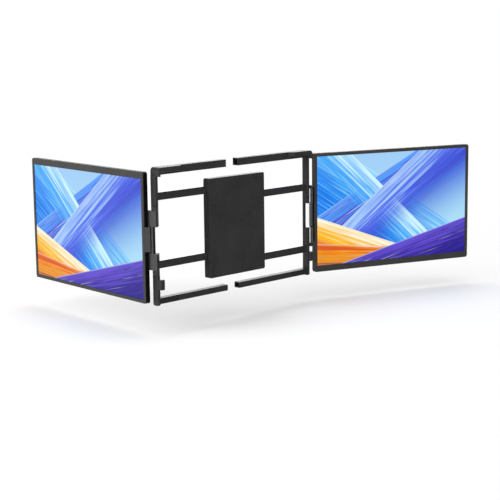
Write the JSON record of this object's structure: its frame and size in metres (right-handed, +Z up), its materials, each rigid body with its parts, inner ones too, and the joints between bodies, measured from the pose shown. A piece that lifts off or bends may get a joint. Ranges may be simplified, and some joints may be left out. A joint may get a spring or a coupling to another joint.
{
  "type": "laptop screen extender",
  "caption": "Clamp-on laptop screen extender: a width-adjustable bracket for the lid with a slim portable screen on a two-axis hinge at each side and a folding kickstand.",
  "frame": {"origin": "centre of the lid seat, the front face of the centre housing, midway between the posts", "axes": "+X to the user's right along the bracket, -Y out of the lid seat towards the user, +Z up along the posts"},
  "size_m": [0.6649, 0.4336, 0.215],
  "materials": {
    "bracket_plastic": "satin black moulded plastic, fine texture",
    "shell_plastic": "satin black moulded plastic, fine texture",
    "frame_plastic": "satin black front frame",
    "hinge_metal": "black powder coat",
    "bar_steel": "bright brushed bar",
    "screw_steel": "plain turned steel",
    "socket_steel": "nickel plated",
    "washer_nylon": "black nylon, satin",
    "grip_rubber": "matte grip rubber",
    "brake_felt": "dense felt",
    "lit_screen": "lit picture behind anti-glare glass",
    "diffuser_white": "white diffuser",
    "board_green": "solder mask",
    "switch_plastic": "black",
    "button_plastic": "satin black"
  },
  "bodies": {
    "center_bracket": {"housing_front_cover": "bracket_plastic", "housing_back_cover": "bracket_plastic", "housing_screws": "screw_steel", "bar_brake_pads": "brake_felt", "kickstand_pin": "screw_steel"},
    "kickstand": {"kickstand_leg": "hinge_metal", "kickstand_foot": "grip_rubber"},
    "left_frame": {"left_post": "bracket_plastic", "left_corner_hook": "bracket_plastic", "left_top_arm": "bracket_plastic", "left_bottom_arm": "bracket_plastic", "left_guide_bars": "bar_steel", "left_grip_pads": "grip_rubber", "left_post_pins": "screw_steel", "left_bar_screws": "screw_steel"},
    "left_link": {"left_hinge_link": "hinge_metal", "left_screen_pin": "screw_steel", "left_hinge_washers": "washer_nylon"},
    "left_screen": {"left_back_shell": "shell_plastic", "left_front_frame": "frame_plastic", "left_lcd_glass": "lit_screen", "left_backlight": "diffuser_white", "left_driver_board": "board_green", "left_usb_sockets": "socket_steel", "left_button_switches": "switch_plastic", "left_hinge_leaf": "hinge_metal", "left_leaf_screws": "screw_steel"},
    "left_power": {"left_power_button": "button_plastic"},
    "left_menu": {"left_menu_rocker": "button_plastic"},
    "right_frame": {"right_post": "bracket_plastic", "right_corner_hook": "bracket_plastic", "right_top_arm": "bracket_plastic", "right_bottom_arm": "bracket_plastic", "right_guide_bars": "bar_steel", "right_grip_pads": "grip_rubber", "right_post_pins": "screw_steel", "right_bar_screws": "screw_steel"},
    "right_link": {"right_hinge_link": "hinge_metal", "right_screen_pin": "screw_steel", "right_hinge_washers": "washer_nylon"},
    "right_screen": {"right_back_shell": "shell_plastic", "right_front_frame": "frame_plastic", "right_lcd_glass": "lit_screen", "right_backlight": "diffuser_white", "right_driver_board": "board_green", "right_usb_sockets": "socket_steel", "right_button_switches": "switch_plastic", "right_hinge_leaf": "hinge_metal", "right_leaf_screws": "screw_steel"},
    "right_power": {"right_power_button": "button_plastic"},
    "right_menu": {"right_menu_rocker": "button_plastic"}
  },
  "joints": [
    {"name": "left_frame_slide", "type": "slide", "parent": "center_bracket", "child": "left_frame", "axis": [-1, 0, 0], "range_m": [-0.012, 0.03]},
    {"name": "right_frame_slide", "type": "slide", "parent": "center_bracket", "child": "right_frame", "axis": [1, 0, 0], "range_m": [-0.012, 0.03]},
    {"name": "left_link_turn", "type": "hinge", "parent": "left_frame", "child": "left_link", "pos_m": [-0.174, -0.0019, -0.005], "axis": [0, 0, 1], "range_deg": [0, 90]},
    {"name": "right_link_turn", "type": "hinge", "parent": "right_frame", "child": "right_link", "pos_m": [0.174, -0.0019, -0.005], "axis": [0, 0, 1], "range_deg": [-51.8, 38.2]},
    {"name": "left_screen_turn", "type": "hinge", "parent": "left_link", "child": "left_screen", "pos_m": [-0.174, 0.0138, -0.005], "axis": [0, 0, 1], "range_deg": [-16.3, 83.7]},
    {"name": "right_screen_turn", "type": "hinge", "parent": "right_link", "child": "right_screen", "pos_m": [0.18371, 0.01044, -0.005], "axis": [0, 0, 1], "range_deg": [-8.8, 91.2]},
    {"name": "left_power_press", "type": "slide", "parent": "left_screen", "child": "left_power", "axis": [-0.0645, -0.9979, 0], "range_m": [0, 0.0004], "stiffness_N_per_m": 1500},
    {"name": "left_menu_press", "type": "slide", "parent": "left_screen", "child": "left_menu", "axis": [-0.0645, -0.9979, 0], "range_m": [0, 0.0004], "stiffness_N_per_m": 1500},
    {"name": "right_power_press", "type": "slide", "parent": "right_screen", "child": "right_power", "axis": [-0.9432, 0.3322, 0], "range_m": [0, 0.0004], "stiffness_N_per_m": 1500},
    {"name": "right_menu_press", "type": "slide", "parent": "right_screen", "child": "right_menu", "axis": [-0.9432, 0.3322, 0], "range_m": [0, 0.0004], "stiffness_N_per_m": 1500},
    {"name": "kickstand_turn", "type": "hinge", "parent": "center_bracket", "child": "kickstand", "pos_m": [0, 0.0105, -0.0735], "axis": [-1, 0, 0], "range_deg": [0, 130]}
  ]
}
